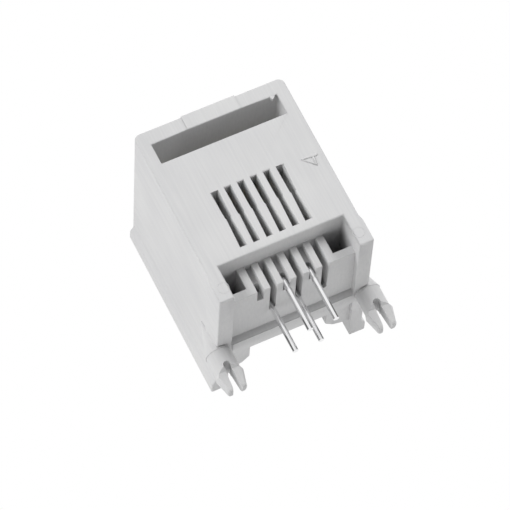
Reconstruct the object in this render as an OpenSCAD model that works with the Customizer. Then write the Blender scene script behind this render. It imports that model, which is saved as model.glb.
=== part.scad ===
// Side-entry modular jack for a printed circuit board, with stitched round-wire contacts.
// The origin lies on the board, midway between the two locking pegs.
// X runs across the jack, +Y points to its rear, and +Z points away from the board.

/* [Plug port] */
// Width of the plug opening
port_width = 9.94; // [9.7:0.02:10.2]
// Height of the plug opening
port_height = 6.8; // [6.6:0.05:7.2]
// Depth from the front face to the rear wall
port_depth = 11.5; // [11.2:0.1:12.5]
// Height of the port floor over the board
floor_height = 5.06; // [4.9:0.02:5.6]
// Width of the latch notch in the front wall
latch_width = 6.2; // [5.6:0.1:6.8]
// Height of the latch space over the plug opening
latch_height = 1.69; // [1.4:0.01:2]
// Width of the notch for the latch handle
handle_width = 3.3; // [2.8:0.1:3.8]
// Height of the handle notch in the top wall
handle_height = 0.6; // [0.3:0.05:0.8]
// Length of the handle notch
handle_length = 3.2; // [2:0.1:5]

/* [Walls] */
// Thickness of the side walls
side_wall = 0.96; // [0.85:0.01:1.1]
// Thickness of the top wall
top_wall = 1.15; // [0.95:0.01:1.4]
// Thickness of the rear wall
rear_wall = 2.7; // [2.5:0.1:3.2]
// Thickness of the front wall
front_wall = 1.3; // [1.1:0.05:1.5]
// Thickness of the port floor
floor_thickness = 1.26; // [1.1:0.02:1.4]
// Height of the bar under the plug opening
front_bar = 2.3; // [1.6:0.1:3]
// Radius of the long edges of the top wall
edge_radius = 0.5; // [0.2:0.05:0.8]
// Width of the raised band along the top wall
band_width = 4.2; // [3.6:0.1:5]
// Height of the raised band
band_height = 0.07; // [0.05:0.01:0.15]
// Length of the flared rim at the front of the side walls
rim_length = 0.95; // [0.6:0.05:1.4]
// Length of the smooth slope behind that rim
rim_slope = 0.8; // [0.5:0.1:1.2]
// Height of that rim over the side faces
rim_height = 0.32; // [0.1:0.02:0.4]

/* [Contacts] */
// Spacing of the contact positions
pitch = 1.02; // [1:0.01:1.06]
// Diameter of the contact wire
wire_diameter = 0.44; // [0.4:0.01:0.48]
// Radial room round a wire in the moulding
wire_room = 0.03; // [0.02:0.005:0.05]
// Height of the wires' straight run over the board
run_height = 1.25; // [1.15:0.05:1.4]
// Bend radius of the wires at their solder tails
tail_bend = 0.5; // [0.4:0.05:0.6]
// Reach of the solder tails below the board
tail_length = 3.36; // [2.8:0.02:4]
// Distance of the nearer tail row from the rear face
tail_setback = 2.59; // [2.5:0.01:2.8]
// Distance between the two tail rows
row_spacing = 2.54; // [2.3:0.02:2.8]
// Angle at which the wires rise to the port's mouth
rise_angle = 55; // [50:1:60]
// Angle of the contact springs over the port floor
spring_angle = 13.5; // [12:0.5:14]
// Distance of the springs' free ends from the rear face
spring_setback = 1.8; // [1.4:0.1:2.2]

/* [Rear face] */
// Narrowing of the rear slots at each side, just under their step
rear_slot_waist = 0.07; // [0.04:0.01:0.14]
// Height of the rear slots' upper ends over the board
rear_slot_top = 8.23; // [8.1:0.02:8.6]
// Height of the step in the rear slots
rear_slot_step = 5.89; // [5.4:0.02:6.4]
// Height of the rear slots' lower ends over the board
rear_slot_bottom = 3.4; // [3.1:0.02:3.8]
// Height of the rear wall's lower edge over the board
recess_height = 2.71; // [2.4:0.01:2.9]
// Depth of the tail comb behind the rear face
comb_setback = 1.8; // [1.5:0.05:2.1]
// Width of the comb outside its end slots
comb_margin = 0.62; // [0.4:0.02:0.8]
// Depth of the comb's shallow slots
shallow_slot = 0.6; // [0.5:0.02:0.7]
// Depth of the two pits beside the comb
pit_depth = 5; // [3:0.1:5.2]
// Thickness of the wall under the pits
pit_wall = 0.64; // [0.5:0.02:0.8]

/* [Board side] */
// Width of the posts that stand on the board
post_width = 1.04; // [0.95:0.01:1.2]
// Clearance between the board and the tail panel
panel_gap = 0.45; // [0.3:0.01:0.55]
// Distance of the cross ridge from the rear face
ridge_setback = 7.5; // [7:0.05:7.7]
// Width of the ridge's flat foot
ridge_foot = 0.9; // [0.5:0.05:1.2]
// Distance of the panel's front edge from the rear face
panel_setback = 10.05; // [9.8:0.05:10.3]
// Width of the cut-out in front of the panel
cutout_width = 6.12; // [5.8:0.02:6.6]
// Length of the tabs beside the cut-out, at the cut-out
tab_length = 1.9; // [1.3:0.05:2.1]
// Extra length of the tabs at the side walls
tab_slant = 0.5; // [0.2:0.05:0.7]
// Corner cut of the tabs
tab_corner = 0.42; // [0.1:0.02:0.6]
// Height of the pads on the outside of the posts
pad_height = 2.3; // [1.5:0.05:3]
// Length of the ramp at the top of those pads
pad_ramp = 0.45; // [0.2:0.05:0.8]
// Thickness of those pads
pad_thickness = 0.13; // [0.1:0.01:0.3]
// Clearance between the board and the walls round and in front of the pegs
foot_gap = 0.08; // [0.05:0.01:0.25]
// Distance of the seating faces from the pegs
seat_margin = 0.12; // [0.05:0.01:0.3]

/* [Locking pegs] */
// Distance between the peg axes
peg_spacing = 11.94; // [11.8:0.02:12.1]
// Distance of the peg axes from the rear face
peg_setback = 7.85; // [7.7:0.05:8.1]
// Radius of the pegs
peg_radius = 0.96; // [0.9:0.01:1.05]
// Height of the bosses over the pegs, outside the walls
boss_height = 2.8; // [2.2:0.1:3.2]
// Depth of the bosses' lower ends below the board
boss_depth = 0.1; // [0.05:0.01:0.2]
// Step from the bosses down to the pegs
boss_step = 0.04; // [0.02:0.01:0.08]
// Depth of the barbs' start below the board
barb_start = 1.65; // [1.4:0.05:1.75]
// Depth of the barbs' widest place below the board
barb_depth = 2; // [1.85:0.05:2.2]
// Height of the barbs over the pegs' sides
barb_height = 0.12; // [0.08:0.01:0.2]
// Depth of the start of the legs' front and back shoulders below the board
flat_start = 1.35; // [1:0.05:1.5]
// Depth of the end of those shoulders below the board
flat_end = 1.8; // [1.65:0.05:2]
// Half depth of the legs at the end of those shoulders
leg_depth = 0.62; // [0.55:0.01:0.75]
// Reach of the pegs below the board
peg_length = 3.35; // [3:0.05:3.8]
// Half width of the pegs near their tips
peg_tip = 0.8; // [0.72:0.01:0.85]
// Half depth of the pegs near their tips
peg_tip_depth = 0.48; // [0.4:0.02:0.54]
// Radius of the rounded tips
tip_round = 0.24; // [0.1:0.02:0.24]
// Depth of the slits' round roots below the board
slit_start = 1.48; // [1.35:0.01:1.7]
// Radius of those roots
slit_root = 0.29; // [0.25:0.01:0.35]
// Width of the slits at their roots
slit_width = 0.46; // [0.3:0.02:0.5]
// Width of the slits at the tips
slit_mouth = 0.62; // [0.5:0.02:0.66]
// Flare of the slits' edges at the tips
slit_flare = 0.08; // [0.02:0.02:0.08]

/* [Hidden] */
$fn = 48;

// Overlap that makes cuts run clean through a face
over = 0.05;
// Lap of the straight lengths of a wire into its bends
lap = 0.04;
// Swell of the wire at its bends
bend_swell = 0.01;
positions = 6;
// Facets along the smooth slope of the rim
rim_steps = 8;
// Facets round the corners of the peg tips
tip_steps = 5;

body_width = port_width + 2 * side_wall;
side_face = body_width / 2;
y_rear = peg_setback;
y_front = y_rear - rear_wall - port_depth;
z_port = floor_height + port_height;
z_latch = z_port + latch_height;
z_top = z_latch + top_wall;
y_cavity = y_rear - rear_wall;
y_mouth = y_front + front_wall;
y_comb = y_rear - comb_setback;
y_ridge = y_rear - ridge_setback;
y_panel = y_rear - panel_setback;
z_under_floor = floor_height - floor_thickness;
post_face = side_face - post_width;
barb_radius = peg_radius + barb_height;
boss_radius = peg_radius + boss_step;

wire_radius = wire_diameter / 2;
bend_radius = wire_radius + bend_swell;
neck_radius = wire_radius + bend_swell / 2;
guide_width = wire_diameter + 2 * wire_room;
y_near = y_rear - tail_setback;
y_far = y_near - row_spacing;
comb_half = (positions - 1) / 2 * pitch + guide_width / 2 + comb_margin;

// The wires loop round the floor's rounded nose, in slots that end at the front wall
nose_radius = floor_thickness / 2;
loop_radius = nose_radius + wire_room + wire_radius;
y_nose = y_mouth + loop_radius + wire_radius + 2 * wire_room;
z_nose = floor_height - nose_radius;
y_rise = y_nose - loop_radius * sin(rise_angle);
z_rise = z_nose - loop_radius * cos(rise_angle);
rise_start = tail_bend * (1 - cos(rise_angle));
rise_length = (z_rise - run_height - rise_start) / sin(rise_angle);
y_kink = y_rise + rise_length * cos(rise_angle) + tail_bend * sin(rise_angle);
y_spring = y_nose - loop_radius * sin(spring_angle);
z_spring = z_nose + loop_radius * cos(spring_angle);
spring_length = (y_rear - spring_setback - y_spring) / cos(spring_angle);

// Place across the jack of a contact position, counted from 1 at the +X side
function position_x(n) = ((positions + 1) / 2 - n) * pitch;

// Odd positions have their tails in the row nearer the rear face
function in_near_row(n) = n % 2 == 1;

// Round corner of a peg's tip in a plane through its axis, from the side to the end
function tip_corner(half) = [
    for (i = [0:tip_steps])
        [
            half - tip_round * (1 - cos(90 * i / tip_steps)),
            tip_round * (1 - sin(90 * i / tip_steps)) - peg_length
        ]
];

// Box between two corners
module block(low, high) {
    translate(low)
        cube(high - low);
}

// Box that is symmetric about the YZ plane
module centred_block(half_width, y_low, y_high, z_low, z_high) {
    block([-half_width, y_low, z_low], [half_width, y_high, z_high]);
}

// Profile in the YZ plane, extruded to both sides of that plane
module side_profile(half_width) {
    translate([-half_width, 0, 0])
        rotate([90, 0, 90])
            linear_extrude(2 * half_width)
                children();
}

// Profile in the XZ plane, extruded from one Y to a higher one
module rear_profile(y_low, y_high) {
    translate([0, y_high, 0])
        rotate([90, 0, 0])
            linear_extrude(y_high - y_low)
                children();
}

// Straight length of wire in the YZ plane, from a point and at an angle over +Y
module wire_run(y, z, angle, length, radius = wire_radius) {
    translate([0, y, z])
        rotate([angle - 90, 0, 0])
            cylinder(r = radius, h = length);
}

// Straight length of wire that laps into the bends at both its ends
module lapped_run(y, z, angle, length) {
    wire_run(y - lap * cos(angle), z - lap * sin(angle), angle, length + 2 * lap);
}

// Bent length of wire in the YZ plane, about a centre
module wire_bend(y, z, radius, start, sweep) {
    translate([0, y, z])
        rotate([90, 0, 90])
            rotate([0, 0, start])
                rotate_extrude(angle = sweep)
                    translate([radius, 0])
                        circle(r = bend_radius);
}

// Outer block with round long edges, open under the port floor and between the posts
module shell() {
    difference() {
        union() {
            centred_block(side_face, y_front, y_rear, 0, z_top - edge_radius);
            centred_block(side_face - edge_radius, y_front, y_rear, 0, z_top);
            for (side = [-1, 1])
                translate([side * (side_face - edge_radius), y_rear, z_top - edge_radius])
                    rotate([90, 0, 0])
                        cylinder(r = edge_radius, h = y_rear - y_front);
        }
        centred_block(port_width / 2, y_front - over, y_panel, -over, floor_height - front_bar);
        centred_block(port_width / 2, y_mouth, y_panel, -over, z_under_floor);
        centred_block(post_face, y_comb, y_rear + over, -over, recess_height);
        centred_block(post_face, y_panel - over, y_comb + over, -over, panel_gap);
    }
}

// Plug opening with the stepped latch notch, and the latch space that runs out of the rear
module port() {
    centred_block(port_width / 2, y_front - over, y_cavity, floor_height, z_port);
    centred_block(port_width / 2, y_mouth, y_rear + band_height + over, z_port - over, z_latch);
    centred_block(latch_width / 2, y_front - over, y_mouth + over, z_port - over, z_latch);
    centred_block(
        handle_width / 2, y_front - over, y_front + handle_length, z_latch - over, z_latch + handle_height
    );
}

// Slot in the rear wall for a spring's free end, straight above its step and waisted below it
module rear_slot_cut() {
    half = guide_width / 2;
    waist = half - rear_slot_waist;
    rear_profile(y_cavity - over, y_rear + over)
        polygon([
            [-half, rear_slot_top],
            [-half, rear_slot_step],
            [-waist, rear_slot_step],
            [-half, rear_slot_bottom],
            [half, rear_slot_bottom],
            [waist, rear_slot_step],
            [half, rear_slot_step],
            [half, rear_slot_top]
        ]);
}

// Round hole for a wire's straight run, from the comb to the panel's front edge
module run_guide() {
    y_start = y_comb - shallow_slot / 2;
    translate([0, y_start, run_height])
        rotate([90, 0, 0])
            cylinder(d = guide_width, h = y_start - y_panel + over);
}

// Room for the bend of a wire under its straight run, from the tail forwards
module bend_room(y_tail, y_high, z_low) {
    block([-guide_width / 2, y_tail - tail_bend, z_low], [guide_width / 2, y_high, run_height]);
}

// Comb cuts for a tail of the nearer row: a shallow slot over a notch that opens to the board
module shallow_cut() {
    block(
        [-guide_width / 2, y_comb - shallow_slot, -over],
        [guide_width / 2, y_comb + over, recess_height]
    );
    bend_room(y_near, y_comb, -over);
    run_guide();
}

// Comb cuts for a tail of the further row: a deep slot with a round root
module deep_cut() {
    translate([0, y_far, -over])
        cylinder(d = guide_width, h = recess_height + over);
    block([-guide_width / 2, y_far, -over], [guide_width / 2, y_comb + over, recess_height]);
    bend_room(y_far, y_far, run_height - tail_bend);
    run_guide();
}

// Pit in the comb's rear, between a post and the end slot
module pit() {
    block(
        [comb_half, y_comb - pit_depth, panel_gap + pit_wall],
        [post_face, y_comb + over, recess_height]
    );
}

// Rounded front edge of the port floor, with ribs that part the wires
module floor_nose() {
    slot_width = wire_diameter + 4 * wire_room;
    translate([-port_width / 2, y_nose, z_nose])
        rotate([0, 90, 0])
            cylinder(r = nose_radius, h = port_width);
    difference() {
        centred_block(port_width / 2, y_mouth - over, y_nose, z_under_floor, floor_height);
        for (n = [1:positions])
            translate([position_x(n), 0, 0])
                centred_block(
                    slot_width / 2, y_mouth, y_nose + over, z_under_floor - over, floor_height + over
                );
    }
}

// Tab of the panel beside the cut-out, with a slanted front edge and a cut corner
module panel_tab() {
    inner = cutout_width / 2;
    outer = port_width / 2 + over;
    y_inner = y_panel - tab_length;
    y_outer = y_inner - tab_slant;
    translate([0, 0, panel_gap])
        linear_extrude(z_under_floor + over - panel_gap)
            polygon([
                [inner, y_panel + over],
                [inner, y_inner + tab_corner],
                [inner + tab_corner, y_inner],
                [outer, y_outer],
                [outer, y_panel + over]
            ]);
}

// Ridge across the panel that stands on the board, sloping away to the panel's front edge
module cross_ridge() {
    side_profile(post_face + over)
        polygon([
            [y_ridge, panel_gap + over],
            [y_ridge, 0],
            [y_ridge - ridge_foot, 0],
            [y_panel, panel_gap],
            [y_panel, panel_gap + over]
        ]);
}

// Pad on the outside of a post, with a ramp at its top
module post_pad() {
    rear_profile(y_ridge, y_rear)
        polygon([
            [side_face - over, 0],
            [side_face + pad_thickness, 0],
            [side_face + pad_thickness, pad_height - pad_ramp],
            [side_face, pad_height],
            [side_face - over, pad_height]
        ]);
}

// Flare of a side wall at its front, with a smooth slope behind it
module side_rim() {
    translate([0, 0, foot_gap])
        linear_extrude(z_top - edge_radius - foot_gap)
            polygon(concat(
                [[side_face - over, y_front], [side_face + rim_height, y_front]],
                [
                    for (i = [0:rim_steps])
                        [
                            side_face + rim_height * (1 + cos(180 * i / rim_steps)) / 2,
                            y_front + rim_length + rim_slope * i / rim_steps
                        ]
                ],
                [[side_face - over, y_front + rim_length + rim_slope]]
            ));
}

// Cut that lifts a side wall and an end of the ridge off the board, round and in front of a peg
module foot_relief() {
    block(
        [peg_spacing / 2 - barb_radius - seat_margin, y_front - over, -over],
        [side_face + pad_thickness + over, boss_radius + seat_margin, foot_gap]
    );
}

// Boss on the outside of a wall over a peg, running out into the wall
module peg_boss() {
    translate([0, 0, -boss_depth])
        cylinder(r1 = boss_radius, r2 = over, h = boss_depth + boss_height);
}

// Split locking peg: round and barbed, with sloping fronts and backs on its round-tipped legs
module peg() {
    reach = barb_radius + over;
    slope = concat(
        [[reach, over], [reach, -flat_start], [leg_depth, -flat_end]],
        tip_corner(peg_tip_depth)
    );
    difference() {
        intersection() {
            rotate_extrude()
                polygon(concat(
                    [[0, 0], [peg_radius, 0], [peg_radius, -barb_start], [barb_radius, -barb_depth]],
                    tip_corner(peg_tip),
                    [[0, -peg_length]]
                ));
            side_profile(reach)
                polygon(concat(slope, [for (i = [len(slope) - 1:-1:0]) [-slope[i][0], slope[i][1]]]));
        }
        translate([0, reach, -slit_start])
            rotate([90, 0, 0])
                cylinder(r = slit_root, h = 2 * reach);
        rear_profile(-reach, reach)
            polygon([
                [-slit_width / 2, -slit_start],
                [-slit_mouth / 2, tip_round - peg_length],
                [-slit_mouth / 2 - slit_flare, -peg_length - over],
                [slit_mouth / 2 + slit_flare, -peg_length - over],
                [slit_mouth / 2, tip_round - peg_length],
                [slit_width / 2, -slit_start]
            ]);
    }
}

// One-piece moulding: shell, tail comb, posts, rim and locking pegs
module housing() {
    color("#d5d6d8")
        union() {
            difference() {
                union() {
                    shell();
                    centred_block(band_width / 2, y_front, y_rear, z_top - over, z_top + band_height);
                    centred_block(
                        band_width / 2, y_rear - over, y_rear + band_height, z_port, z_top + band_height
                    );
                    cross_ridge();
                    for (side = [0, 1])
                        mirror([side, 0, 0]) {
                            post_pad();
                            panel_tab();
                            side_rim();
                        }
                }
                port();
                for (side = [0, 1])
                    mirror([side, 0, 0]) {
                        pit();
                        foot_relief();
                    }
                for (n = [1:positions])
                    translate([position_x(n), 0, 0]) {
                        rear_slot_cut();
                        if (in_near_row(n))
                            shallow_cut();
                        else
                            deep_cut();
                    }
                centred_block(port_width / 2, y_mouth, y_nose, z_under_floor - over, floor_height + over);
            }
            floor_nose();
            for (side = [-1, 1])
                translate([side * peg_spacing / 2, 0, 0]) {
                    peg_boss();
                    peg();
                }
        }
}

// Contact wire: solder tail, straight run, rise, loop round the nose and sloping spring
module contact_wire(n) {
    color("#c9cacc")
        translate([position_x(n), 0, 0]) {
            y_tail = in_near_row(n) ? y_near : y_far;
            translate([0, y_tail, wire_radius - tail_length])
                sphere(r = wire_radius);
            wire_run(y_tail, wire_radius - tail_length, 90, tail_length - wire_radius + panel_gap + lap);
            wire_run(y_tail, panel_gap, 90, run_height - tail_bend - panel_gap + lap, neck_radius);
            wire_bend(y_tail - tail_bend, run_height - tail_bend, tail_bend, 0, 90);
            lapped_run(y_kink, run_height, 0, y_tail - tail_bend - y_kink);
            wire_bend(y_kink, run_height + tail_bend, tail_bend, 270 - rise_angle, rise_angle);
            lapped_run(y_rise, z_rise, -rise_angle, rise_length);
            wire_bend(y_nose, z_nose, loop_radius, 90 + spring_angle, 180 - rise_angle - spring_angle);
            lapped_run(y_spring, z_spring, spring_angle, spring_length);
        }
}

module contact_wire_2() {
    contact_wire(2);
}

module contact_wire_3() {
    contact_wire(3);
}

module contact_wire_4() {
    contact_wire(4);
}

module contact_wire_5() {
    contact_wire(5);
}

housing();
contact_wire_2();
contact_wire_3();
contact_wire_4();
contact_wire_5();
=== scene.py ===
import math

import bmesh
import bpy
from mathutils import Matrix, Vector


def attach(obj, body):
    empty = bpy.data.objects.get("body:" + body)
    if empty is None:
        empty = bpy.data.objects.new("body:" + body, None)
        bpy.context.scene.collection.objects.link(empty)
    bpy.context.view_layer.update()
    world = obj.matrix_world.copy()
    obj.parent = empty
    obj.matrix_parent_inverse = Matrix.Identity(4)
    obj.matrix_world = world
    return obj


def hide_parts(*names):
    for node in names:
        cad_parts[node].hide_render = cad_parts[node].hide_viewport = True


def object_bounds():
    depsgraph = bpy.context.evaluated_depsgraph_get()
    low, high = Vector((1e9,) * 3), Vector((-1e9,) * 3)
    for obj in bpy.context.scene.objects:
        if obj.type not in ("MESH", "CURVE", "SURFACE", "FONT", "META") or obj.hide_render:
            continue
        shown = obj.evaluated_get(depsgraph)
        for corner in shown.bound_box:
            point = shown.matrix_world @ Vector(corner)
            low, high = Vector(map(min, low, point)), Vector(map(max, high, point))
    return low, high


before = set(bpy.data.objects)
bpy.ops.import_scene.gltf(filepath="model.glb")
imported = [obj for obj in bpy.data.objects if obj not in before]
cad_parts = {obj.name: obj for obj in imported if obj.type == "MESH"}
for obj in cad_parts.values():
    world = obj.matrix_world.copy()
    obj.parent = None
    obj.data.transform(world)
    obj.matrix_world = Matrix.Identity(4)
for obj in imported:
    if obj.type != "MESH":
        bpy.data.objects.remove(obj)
cad_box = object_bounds()


# Housing: the one moulding that carries everything else, shot in glass-filled polyester.
# The tool leaves its edges softly broken, the long outside ones more than the small ones,
# so the solid is copied here and each outside edge is eased as far as its faces leave room.

MM = 0.001
EDGE_EASE = 0.12 * MM
FINE_EASE = 0.06 * MM
ROOM_FOR_EDGE_EASE = 0.85 * MM
ROOM_FOR_FINE_EASE = 0.5 * MM
SHORT_EDGE = 0.5 * MM
SHORTEST_EDGE = 0.05 * MM
SMOOTH_TURN = math.radians(18)
EASE_SEGMENTS = 3
SHARP_FROM = math.radians(32)
FLAT_TO = math.radians(0.5)
WELD = 0.0005 * MM
PROBES = (0.06, 0.5, 0.94)
REAR_FACE = 7.85 * MM
FRONT_FACE = cad_box[0][1]
REAR_OPENING_ENDS = (3.4 * MM, 8.23 * MM, 11.86 * MM, 13.55 * MM)
FRONT_OPENING_ENDS = (5.06 * MM, 11.86 * MM)
FLOW_LINE = (0.16 * MM, 0.6 * MM, 5 * MM)
CLOUD = 5 * MM
GRAIN = 0.09 * MM
GRAIN_HEIGHT = 0.006 * MM


def linear(hex_colour):
    """Linear RGBA of an sRGB hex colour."""
    parts = [int(hex_colour[i:i + 2], 16) / 255 for i in (1, 3, 5)]
    return [c / 12.92 if c <= 0.04045 else ((c + 0.055) / 1.055) ** 2.4 for c in parts] + [1.0]


def add_node(tree, kind, inputs=None, **settings):
    """Adds a node, sets its properties, and fills its inputs with values or links."""
    made = tree.nodes.new(kind)
    for name, value in settings.items():
        setattr(made, name, value)
    for key, value in (inputs or {}).items():
        if isinstance(value, bpy.types.NodeSocket):
            tree.links.new(value, made.inputs[key])
        else:
            made.inputs[key].default_value = value
    return made


def new_material(name):
    """Empty node material, with its tree."""
    made = bpy.data.materials.new(name)
    made.use_nodes = True
    made.node_tree.nodes.clear()
    return made, made.node_tree


def new_piece(name, mesh, material):
    """Object for a finished mesh, at the origin."""
    mesh.materials.clear()
    mesh.materials.append(material)
    made = bpy.data.objects.new(name, mesh)
    bpy.context.scene.collection.objects.link(made)
    return made


def applied(piece):
    """Plain mesh of a piece with its modifiers applied; the modifiers are removed."""
    graph = bpy.context.evaluated_depsgraph_get()
    made = bpy.data.meshes.new_from_object(piece.evaluated_get(graph), depsgraph=graph)
    piece.modifiers.clear()
    return made


# Glass-filled polyester, moulded: light neutral grey with a dull satin skin. Flow lines run along the
# draw of the tool, the tone clouds a little, and the spark-eroded tool leaves a fine grain.
# The grain is drawn coarser than the real one, so that it shows.
polyester, tree = new_material("glass_filled_polyester")
place = add_node(tree, "ShaderNodeTexCoord").outputs["Object"]
drawn_out = add_node(
    tree, "ShaderNodeMapping", {"Vector": place, "Scale": [1 / size for size in FLOW_LINE]}
).outputs[0]
flow_lines = add_node(
    tree, "ShaderNodeTexNoise", {"Vector": drawn_out, "Scale": 1.0, "Detail": 2.0}
).outputs[0]
clouds = add_node(
    tree, "ShaderNodeTexNoise", {"Vector": place, "Scale": 1 / CLOUD, "Detail": 2.0}
).outputs[0]
grain = add_node(
    tree, "ShaderNodeTexNoise", {"Vector": place, "Scale": 1 / GRAIN, "Detail": 1.0}
).outputs[0]
tone = add_node(tree, "ShaderNodeMath", {0: flow_lines, 1: clouds}, operation="ADD").outputs[0]
tint = add_node(
    tree, "ShaderNodeMapRange", {"Value": tone, "From Min": 0.7, "From Max": 1.3}
).outputs[0]
colour = add_node(
    tree, "ShaderNodeMix", {0: tint, 6: linear("#cacacb"), 7: linear("#d3d3d3")}, data_type="RGBA"
).outputs[2]
gloss = add_node(
    tree, "ShaderNodeMapRange",
    {"Value": grain, "From Min": 0.3, "From Max": 0.7, "To Min": 0.44, "To Max": 0.56}
).outputs[0]
skin = add_node(
    tree, "ShaderNodeBump", {"Height": grain, "Strength": 0.35, "Distance": GRAIN_HEIGHT}
).outputs[0]
shader = add_node(
    tree, "ShaderNodeBsdfPrincipled",
    {"Base Color": colour, "Roughness": gloss, "Normal": skin, "IOR": 1.5}
)
add_node(tree, "ShaderNodeOutputMaterial", {"Surface": shader.outputs[0]})

solid = bmesh.new()
solid.from_mesh(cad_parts["housing"].data)
bmesh.ops.remove_doubles(solid, verts=solid.verts, dist=WELD)
bmesh.ops.dissolve_limit(solid, angle_limit=FLAT_TO, verts=solid.verts, edges=solid.edges)

# The rear and front faces are parted level with the ends of their openings,
# so that no flat has a hole in it.
for y, heights in ((REAR_FACE, REAR_OPENING_ENDS), (FRONT_FACE, FRONT_OPENING_ENDS)):
    for z in heights:
        flats = [f for f in solid.faces if all(abs(v.co.y - y) < WELD for v in f.verts)]
        rims = dict.fromkeys(part for f in flats for part in (*f.edges, *f.verts))
        parted = bmesh.ops.bisect_plane(
            solid, geom=[*flats, *rims], dist=WELD, plane_co=(0, 0, z), plane_no=(0, 0, 1)
        )
        for part in parted["geom_cut"]:
            if isinstance(part, bmesh.types.BMEdge):
                part.seam = part.calc_face_angle() < FLAT_TO
bmesh.ops.dissolve_limit(
    solid, angle_limit=FLAT_TO, verts=solid.verts, edges=solid.edges, delimit={"SEAM"}
)
ease = solid.edges.layers.float.new("bevel_weight_edge")


def plane_of(face):
    """Rounded plane of a face, the same for all faces that lie in it."""
    offset = face.normal.dot(face.verts[0].co) / MM
    return tuple(round(c, 2) for c in face.normal) + (round(offset, 2),)


borders = {}
holed = set()
for edge in solid.edges:
    if edge.calc_face_angle() > FLAT_TO:
        for face in edge.link_faces:
            borders.setdefault(plane_of(face), []).append(edge)
    elif not edge.seam:
        holed.update(edge.link_faces)


def room_beside(loop):
    """Width of the flat that a loop's edge bounds, measured square to the edge."""
    start, end = loop.vert.co, loop.link_loop_next.vert.co
    along = (end - start).normalized()
    inward = loop.face.normal.cross(along)
    room = math.inf
    for share in PROBES:
        here = start.lerp(end, share)
        for other in borders[plane_of(loop.face)]:
            if other is loop.edge:
                continue
            a, b = (v.co - here for v in other.verts)
            ua, ub = a.dot(along), b.dot(along)
            if ua * ub <= 0 and abs(ua - ub) > WELD:
                reach = a.dot(inward) + (b - a).dot(inward) * ua / (ua - ub)
                if reach > WELD:
                    room = min(room, reach)
    return room


def runs_on(edge, vert):
    """Whether a sharp edge goes on past one of its ends with only a slight turn."""
    along = (vert.co - edge.other_vert(vert).co).normalized()
    for other in vert.link_edges:
        onward = (other.other_vert(vert).co - vert.co).normalized()
        beside = set(other.link_faces) & set(edge.link_faces)
        if other is not edge and beside and other.calc_face_angle() > SHARP_FROM:
            if along.dot(onward) > math.cos(SMOOTH_TURN):
                return True
    return False


def can_be_eased(edge):
    """Whether an edge is an outside one, between flats without holes, and no short stub."""
    if edge.calc_face_angle_signed() < SHARP_FROM or holed & set(edge.link_faces):
        return False
    length = edge.calc_length()
    if length > SHORT_EDGE:
        return True
    return length > SHORTEST_EDGE and all(runs_on(edge, v) for v in edge.verts)


lines = {}
for edge in filter(can_be_eased, solid.edges):
    line = tuple(sorted(plane_of(face) for face in edge.link_faces))
    lines.setdefault(line, []).append(edge)
for line in lines.values():
    room = min(room_beside(loop) for edge in line for loop in edge.link_loops)
    if room < ROOM_FOR_FINE_EASE:
        continue
    for edge in line:
        edge[ease] = FINE_EASE / EDGE_EASE if room < ROOM_FOR_EDGE_EASE else 1
for face in solid.faces:
    face.smooth = True
for edge in solid.edges:
    edge.smooth = edge[ease] > 0 or edge.calc_face_angle() < SHARP_FROM
moulded = bpy.data.meshes.new("housing_moulding")
solid.to_mesh(moulded)
solid.free()

housing = new_piece("housing_moulding", moulded, polyester)
easing = housing.modifiers.new("ease", "BEVEL")
easing.limit_method = "WEIGHT"
easing.width = EDGE_EASE
easing.segments = EASE_SEGMENTS
easing.use_clamp_overlap = False
easing.loop_slide = True
easing.miter_outer = "MITER_SHARP"
welding = housing.modifiers.new("weld", "WELD")
welding.merge_threshold = WELD
evening = housing.modifiers.new("even", "WEIGHTED_NORMAL")
evening.keep_sharp = True
housing.data = applied(housing)
housing.data.name = "housing_moulding"
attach(housing, "root")
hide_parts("housing")


# Contact wires: four lengths of drawn bronze wire, each bent from the solder tail along the comb,
# round the nose of the port floor and back into a sloping spring. They are stitched into the housing.

WIRE_RADIUS = 0.22 * MM
WIRE_SIDES = 32
PITCH = 1.02 * MM
FIRST_PLACE = 2.55 * MM
NEAR_ROW = 5.26 * MM
FAR_ROW = 2.72 * MM
TAIL_TIP = -3.36 * MM
RUN_HEIGHT = 1.25 * MM
TAIL_BEND = 0.5 * MM
NOSE_RADIUS = 0.63 * MM
NOSE_Y = -3.89 * MM
NOSE_Z = 4.43 * MM
LOOP_RADIUS = NOSE_RADIUS + 0.25 * MM
RISE = math.radians(55)
SPRING = math.radians(13.5)
SPRING_END = 6.05 * MM
END_BREAK = 0.05 * MM
QUARTER_TURN = math.radians(90)
TIP_STEPS = 6
TIP_GIRTH = 0.05
GILT_FROM = 3.7 * MM
GILT_WHOLE = 4.2 * MM
DRAWING_LINES = 12.0
DRAWING_RUN = 4 * MM
DULL_PATCH = 0.6 * MM


def arc(y, z, radius, start, sweep, steps):
    """Points of an arc about a centre in the plane of a wire."""
    turns = (start + sweep * i / steps for i in range(steps + 1))
    return [(y + radius * math.cos(t), z + radius * math.sin(t), 1.0) for t in turns]


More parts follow.
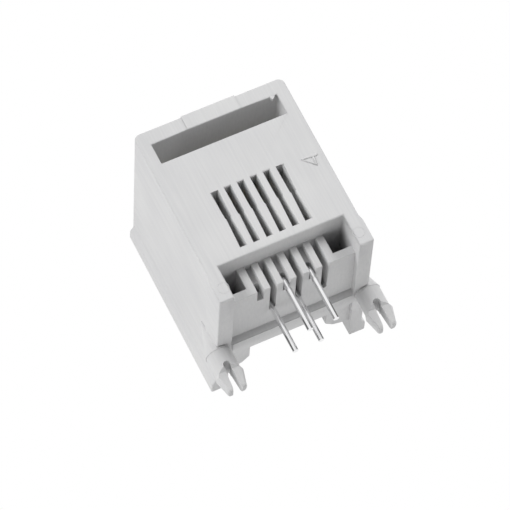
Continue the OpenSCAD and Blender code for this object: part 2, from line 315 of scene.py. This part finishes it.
def wire_route(tail):
    """Places along a wire from its tail's tip, as y, z and share of the full girth."""
    tip = [
        (tail, TAIL_TIP + WIRE_RADIUS * (1 - math.cos(t)), max(math.sin(t), TIP_GIRTH))
        for t in (QUARTER_TURN * i / TIP_STEPS for i in range(TIP_STEPS + 1))
    ]
    rise_y = NOSE_Y - LOOP_RADIUS * math.sin(RISE)
    rise_z = NOSE_Z - LOOP_RADIUS * math.cos(RISE)
    rise = (rise_z - RUN_HEIGHT - TAIL_BEND * (1 - math.cos(RISE))) / math.sin(RISE)
    kink = rise_y + rise * math.cos(RISE) + TAIL_BEND * math.sin(RISE)
    spring_y = NOSE_Y - LOOP_RADIUS * math.sin(SPRING)
    spring_z = NOSE_Z + LOOP_RADIUS * math.cos(SPRING)
    spring = (SPRING_END - spring_y) / math.cos(SPRING)
    bend = arc(tail - TAIL_BEND, RUN_HEIGHT - TAIL_BEND, TAIL_BEND, 0, QUARTER_TURN, 10)
    foot = arc(kink, RUN_HEIGHT + TAIL_BEND, TAIL_BEND, 3 * QUARTER_TURN, -RISE, 8)
    loop = arc(NOSE_Y, NOSE_Z, LOOP_RADIUS, 3 * QUARTER_TURN - RISE, RISE + SPRING - 2 * QUARTER_TURN, 16)
    end = [
        (spring_y + s * math.cos(SPRING), spring_z + s * math.sin(SPRING), girth)
        for s, girth in ((spring - END_BREAK, 1.0), (spring, 1 - END_BREAK / WIRE_RADIUS))
    ]
    return tip + bend + foot + loop + end


# Drawn bronze wire, tinned along the tail and gold-flashed on the spring: bright, with faint drawing
# lines along its length. They are drawn at a twelfth of the girth, coarser than real ones, to show.
plating, tree = new_material("tinned_and_gilt_bronze")
place = add_node(tree, "ShaderNodeTexCoord").outputs["Object"]
height = add_node(tree, "ShaderNodeSeparateXYZ", {"Vector": place}).outputs["Z"]
gilt = add_node(
    tree, "ShaderNodeMapRange", {"Value": height, "From Min": GILT_FROM, "From Max": GILT_WHOLE},
    interpolation_type="SMOOTHSTEP"
).outputs[0]
around = add_node(tree, "ShaderNodeAttribute", attribute_name="around").outputs["Fac"]
length = add_node(tree, "ShaderNodeAttribute", attribute_name="along").outputs["Fac"]
drawing = add_node(
    tree, "ShaderNodeMath", {0: around, 1: DRAWING_LINES}, operation="MULTIPLY"
).outputs[0]
stretch = add_node(
    tree, "ShaderNodeMath", {0: length, 1: 1 / DRAWING_RUN}, operation="MULTIPLY"
).outputs[0]
scored = add_node(tree, "ShaderNodeCombineXYZ", {"X": drawing, "Y": stretch}).outputs[0]
scores = add_node(
    tree, "ShaderNodeTexNoise", {"Vector": scored, "Scale": 1.0, "Detail": 2.0}
).outputs[0]
dulled = add_node(
    tree, "ShaderNodeTexNoise", {"Vector": place, "Scale": 1 / DULL_PATCH, "Detail": 2.0}
).outputs[0]
tin = add_node(
    tree, "ShaderNodeMix", {0: dulled, 6: linear("#e8e8ea"), 7: linear("#f4f4f4")}, data_type="RGBA"
).outputs[2]
colour = add_node(
    tree, "ShaderNodeMix", {0: gilt, 6: tin, 7: linear("#e3c988")}, data_type="RGBA"
).outputs[2]
gloss = add_node(
    tree, "ShaderNodeMapRange",
    {"Value": scores, "From Min": 0.3, "From Max": 0.7, "To Min": 0.09, "To Max": 0.13}
).outputs[0]
shader = add_node(
    tree, "ShaderNodeBsdfPrincipled", {"Base Color": colour, "Roughness": gloss, "Metallic": 1.0}
)
add_node(tree, "ShaderNodeOutputMaterial", {"Surface": shader.outputs[0]})

drawn = bpy.data.node_groups.new("round_sweep", "GeometryNodeTree")
drawn.interface.new_socket("Route", in_out="INPUT", socket_type="NodeSocketGeometry")
radius_input = drawn.interface.new_socket("Radius", in_out="INPUT", socket_type="NodeSocketFloat")
sides_input = drawn.interface.new_socket("Sides", in_out="INPUT", socket_type="NodeSocketInt")
material_input = drawn.interface.new_socket(
    "Material", in_out="INPUT", socket_type="NodeSocketMaterial"
)
drawn.interface.new_socket("Sweep", in_out="OUTPUT", socket_type="NodeSocketGeometry")
entry = add_node(drawn, "NodeGroupInput").outputs
measure = add_node(drawn, "GeometryNodeSplineParameter").outputs
girth = add_node(
    drawn, "GeometryNodeInputNamedAttribute", {"Name": "girth"}, data_type="FLOAT"
).outputs[0]
path = add_node(drawn, "GeometryNodeMeshToCurve", {"Mesh": entry["Route"]}).outputs[0]
path = add_node(drawn, "GeometryNodeSetCurveRadius", {"Curve": path, "Radius": girth}).outputs[0]
path = add_node(
    drawn, "GeometryNodeStoreNamedAttribute",
    {"Geometry": path, "Name": "along", "Value": measure["Length"]}, data_type="FLOAT", domain="POINT"
).outputs[0]
section = add_node(
    drawn, "GeometryNodeCurvePrimitiveCircle", {"Resolution": entry["Sides"], "Radius": entry["Radius"]}
).outputs[0]
section = add_node(
    drawn, "GeometryNodeStoreNamedAttribute",
    {"Geometry": section, "Name": "around", "Value": measure["Factor"]}, data_type="FLOAT", domain="POINT"
).outputs[0]
swept = add_node(
    drawn, "GeometryNodeCurveToMesh", {"Curve": path, "Profile Curve": section, "Fill Caps": True}
).outputs[0]
swept = add_node(drawn, "GeometryNodeRealizeInstances", {"Geometry": swept}).outputs[0]
swept = add_node(
    drawn, "GeometryNodeSetMaterial", {"Geometry": swept, "Material": entry["Material"]}
).outputs[0]
add_node(drawn, "NodeGroupOutput", {"Sweep": swept})


def swept_piece(name, points, links, girths, radius, sides, material):
    """Piece swept along a route of linked points, with its own girth at each point."""
    mesh = bpy.data.meshes.new(name)
    mesh.from_pydata(points, links, [])
    mesh.attributes.new("girth", "FLOAT", "POINT").data.foreach_set("value", girths)
    made = new_piece(name, mesh, material)
    sweep = made.modifiers.new("sweep", "NODES")
    sweep.node_group = drawn
    sweep[radius_input.identifier] = radius
    sweep[sides_input.identifier] = sides
    sweep[material_input.identifier] = material
    made.data = applied(made)
    made.data.name = name
    made.data.shade_smooth()
    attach(made, "root")
    return made


for number in (2, 3, 4, 5):
    x = FIRST_PLACE - (number - 1) * PITCH
    route = wire_route(NEAR_ROW if number % 2 else FAR_ROW)
    wire = swept_piece(
        f"contact_wire_{number}_drawn", [(x, y, z) for y, z, girth in route],
        [(i, i + 1) for i in range(len(route) - 1)], [girth for y, z, girth in route],
        WIRE_RADIUS, WIRE_SIDES, plating
    )
    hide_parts(f"contact_wire_{number}")


# Mould marks: the tool's cavity number stands raised on the rear face, its pins leave faint rings,
# a crumb of flash hangs in a corner of the latch window, and the ridge under the tails' panel is
# rounded towards the rear. All are of the housing's own plastic.

NUMERAL = ((-5.06, 7.95), (-5.02, 7.14), (-4.25, 7.93), (-5.38, 7.87))
NUMERAL_STROKE = 0.105 * MM
NUMERAL_SUNK = 0.015 * MM
NUMERAL_SIDES = 12
RING_RADIUS = 0.42 * MM
RING_PLACES = ((5.3, 1.0), (-5.3, 1.0))
RING_LINE = 0.018 * MM
RING_SIDES = 8
RING_STEPS = 36
FLASH = ((-4.4, 13.58), (-4.5, 13.3), (-4.62, 13.34), (-4.82, 13.58))
FLASH_DEPTH = 0.3 * MM
RIDGE_ROUNDING = ((0.57, 0.45), (0.5, 0.24), (0.42, 0.09), (0.33, 0.02), (0.33, 0.5), (0.57, 0.5))
RIDGE_END = 4.9 * MM
RIDGE_CREASE = math.radians(40)

numeral = swept_piece(
    "cavity_number", [(x * MM, REAR_FACE - NUMERAL_SUNK, z * MM) for x, z in NUMERAL],
    [(i, i + 1) for i in range(len(NUMERAL) - 1)], [1.0] * len(NUMERAL),
    NUMERAL_STROKE, NUMERAL_SIDES, polyester
)
for side, (x, z) in zip(("left", "right"), RING_PLACES):
    turns = [4 * QUARTER_TURN * i / RING_STEPS for i in range(RING_STEPS)]
    middle = Vector((x * MM, REAR_FACE, z * MM))
    ring = swept_piece(
        f"pin_ring_{side}",
        [middle + RING_RADIUS * Vector((math.cos(t), 0, math.sin(t))) for t in turns],
        [(i, (i + 1) % RING_STEPS) for i in range(RING_STEPS)], [1.0] * RING_STEPS,
        RING_LINE, RING_SIDES, polyester
    )


def moulded_prism(name, corners, along):
    """Piece of the housing's plastic, with a flat outline carried along a straight line."""
    count = len(corners)
    carried = [Vector(corner) + Vector(along) for corner in corners]
    ends = [range(count), range(count, 2 * count)]
    sides = [(i, (i + 1) % count, count + (i + 1) % count, count + i) for i in range(count)]
    mesh = bpy.data.meshes.new(name)
    mesh.from_pydata([*corners, *carried], [], [*ends, *sides])
    prism = bmesh.new()
    prism.from_mesh(mesh)
    bmesh.ops.recalc_face_normals(prism, faces=prism.faces)
    prism.to_mesh(mesh)
    prism.free()
    made = new_piece(name, mesh, polyester)
    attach(made, "root")
    return made


moulded_prism(
    "window_flash", [(x * MM, REAR_FACE - FLASH_DEPTH, z * MM) for x, z in FLASH], (0, FLASH_DEPTH, 0)
)
rounding = moulded_prism(
    "ridge_rounding", [(-RIDGE_END, y * MM, z * MM) for y, z in RIDGE_ROUNDING], (2 * RIDGE_END, 0, 0)
)
rounding.data.shade_smooth()
rounding.data.set_sharp_from_angle(angle=RIDGE_CREASE)


# Floor: a pale sheet under the jack, which fades into the white surround. Its underside is clear,
# because the photograph looks up at the board side from below it.

FLOOR_RADIUS = 240 * MM
FLOOR_SIDES = 96
FADE_FROM = 60 * MM
FADE_TO = 220 * MM

# Matt paper: pale and even, so that it shows only the jack's soft shadow.
sheet, tree = new_material("pale_floor")
place = add_node(tree, "ShaderNodeTexCoord").outputs["Object"]
away = add_node(tree, "ShaderNodeVectorMath", {0: place}, operation="LENGTH").outputs["Value"]
fade = add_node(
    tree, "ShaderNodeMapRange", {"Value": away, "From Min": FADE_FROM, "From Max": FADE_TO}
).outputs[0]
below = add_node(tree, "ShaderNodeNewGeometry").outputs["Backfacing"]
clear = add_node(tree, "ShaderNodeMath", {0: fade, 1: below}, operation="MAXIMUM").outputs[0]
paper = add_node(tree, "ShaderNodeBsdfDiffuse", {"Color": linear("#e9e9ea")}).outputs[0]
open_air = add_node(tree, "ShaderNodeBsdfTransparent").outputs[0]
surface = add_node(tree, "ShaderNodeMixShader", {0: clear, 1: paper, 2: open_air}).outputs[0]
add_node(tree, "ShaderNodeOutputMaterial", {"Surface": surface})

disc = bmesh.new()
bmesh.ops.create_circle(
    disc, cap_ends=True, segments=FLOOR_SIDES, radius=FLOOR_RADIUS,
    matrix=Matrix.Translation((0, 0, cad_box[0][2]))
)
mesh = bpy.data.meshes.new("floor")
disc.to_mesh(mesh)
disc.free()
floor = new_piece("floor", mesh, sheet)
floor.visible_shadow = False
floor.visible_diffuse = False
floor.visible_glossy = False


# Studio light: a white tent round the jack, dimmer overhead, and open ahead of the port and round
# the lens, where the hollows would otherwise fill with light. Softboxes stand behind it to both sides
# and high in front. The wires mirror the white tent with a dark flag at each side, and no softbox.

TENT = 1.05
TENT_BELOW = 1.15
TENT_ABOVE = 0.5
TENT_SIDES = (0.8, 1.05)
OPENINGS = (
    # direction, angles where the opening is whole and where it ends, light left in it
    ((0, -1, 0), 35, 55, 0.15),
    ((0.08, 0.84, -0.54), 34, 58, 0.0),
)
FLAG = 0.12
FLAG_FROM = 0.6
FLAG_WHOLE = 0.85
AIM = Vector((0, 0.5, 6)) * MM
SOFTBOXES = (
    # name, direction, distance and width in metres, share of the light on a face square to it
    ("softbox_left", (0.7, 0.7, 0.2), 0.25, 0.1, 0.46),
    ("softbox_right", (-0.7, 0.7, 0.2), 0.25, 0.1, 0.46),
    ("softbox_front", (-0.45, -0.62, 0.64), 0.3, 0.12, 0.4),
)

world = bpy.data.worlds.new("studio")
bpy.context.scene.world = world
world.use_nodes = True
tree = world.node_tree
tree.nodes.clear()
ray = add_node(tree, "ShaderNodeLightPath").outputs
direction = add_node(tree, "ShaderNodeTexCoord").outputs["Generated"]
facing = add_node(tree, "ShaderNodeSeparateXYZ", {"Vector": direction}).outputs
below = add_node(
    tree, "ShaderNodeMapRange",
    {"Value": facing["Z"], "From Min": -1.0, "From Max": 0.0, "To Min": TENT_BELOW}
).outputs[0]
above = add_node(
    tree, "ShaderNodeMapRange", {"Value": facing["Z"], "To Min": TENT, "To Max": TENT * TENT_ABOVE}
).outputs[0]
across = add_node(
    tree, "ShaderNodeMapRange",
    {"Value": facing["X"], "From Min": -1.0, "To Min": TENT_SIDES[0], "To Max": TENT_SIDES[1]}
).outputs[0]
lit = add_node(tree, "ShaderNodeMath", {0: below, 1: above}, operation="MULTIPLY").outputs[0]
lit = add_node(tree, "ShaderNodeMath", {0: lit, 1: across}, operation="MULTIPLY").outputs[0]
for middle, whole_to, ends_at, light_left in OPENINGS:
    nearness = add_node(
        tree, "ShaderNodeVectorMath", {0: direction, 1: Vector(middle).normalized()},
        operation="DOT_PRODUCT"
    ).outputs["Value"]
    opening = add_node(
        tree, "ShaderNodeMapRange", {
            "Value": nearness, "From Min": math.cos(math.radians(ends_at)),
            "From Max": math.cos(math.radians(whole_to)), "To Min": 1.0, "To Max": light_left,
        }, interpolation_type="SMOOTHSTEP"
    ).outputs[0]
    lit = add_node(tree, "ShaderNodeMath", {0: lit, 1: opening}, operation="MULTIPLY").outputs[0]
beside = add_node(tree, "ShaderNodeMath", {0: facing["X"]}, operation="ABSOLUTE").outputs[0]
mirrored = add_node(
    tree, "ShaderNodeMapRange",
    {"Value": beside, "From Min": FLAG_FROM, "From Max": FLAG_WHOLE, "To Min": 1.0, "To Max": FLAG},
    interpolation_type="SMOOTHSTEP"
).outputs[0]
level = add_node(tree, "ShaderNodeMix", {0: ray["Is Glossy Ray"], 2: lit, 3: mirrored}).outputs[0]
seen = add_node(
    tree, "ShaderNodeMath", {0: ray["Is Camera Ray"], 1: ray["Is Transmission Ray"]},
    operation="MAXIMUM"
).outputs[0]
level = add_node(tree, "ShaderNodeMix", {0: seen, 2: level, 3: 1.0}).outputs[0]
tent = add_node(
    tree, "ShaderNodeBackground", {"Color": linear("#ffffff"), "Strength": level}
).outputs[0]
add_node(tree, "ShaderNodeOutputWorld", {"Surface": tent})

for name, towards, distance, width, share in SOFTBOXES:
    lamp = bpy.data.lights.new(name, "AREA")
    lamp.shape = "DISK"
    lamp.size = width
    lamp.energy = share * math.pi ** 2 * distance ** 2
    softbox = bpy.data.objects.new(name, lamp)
    side = Vector(towards).normalized()
    softbox.location = AIM + side * distance
    softbox.rotation_euler = side.to_track_quat("Z", "Y").to_euler()
    softbox.visible_glossy = False
    bpy.context.scene.collection.objects.link(softbox)


# Camera: the photograph's view, from behind, below and slightly to one side, with a long lens.
# It is rolled, because the jack lies turned in the photograph's frame.

CAMERA_AIM = Vector((0.28, 0.73, 5.72)) * MM
CAMERA_AZIMUTH = math.radians(165.28)
CAMERA_ELEVATION = math.radians(-24.17)
CAMERA_ROLL = math.radians(-28.45)
CAMERA_DISTANCE = 289.94 * MM
CAMERA_LENS = 283.0

camera = bpy.data.objects.new("camera", bpy.data.cameras.new("camera"))
camera.data.sensor_width = 36
camera.data.lens = CAMERA_LENS
camera.data.clip_start = 10 * MM
back = Vector((
    math.sin(CAMERA_AZIMUTH) * math.cos(CAMERA_ELEVATION),
    -math.cos(CAMERA_AZIMUTH) * math.cos(CAMERA_ELEVATION),
    math.sin(CAMERA_ELEVATION),
))
turn = back.to_track_quat("Z", "Y").to_matrix() @ Matrix.Rotation(CAMERA_ROLL, 3, "Z")
camera.matrix_world = Matrix.Translation(CAMERA_AIM + back * CAMERA_DISTANCE) @ turn.to_4x4()
bpy.context.scene.collection.objects.link(camera)
bpy.context.scene.camera = camera
bpy.context.scene.view_settings.view_transform = "Standard"
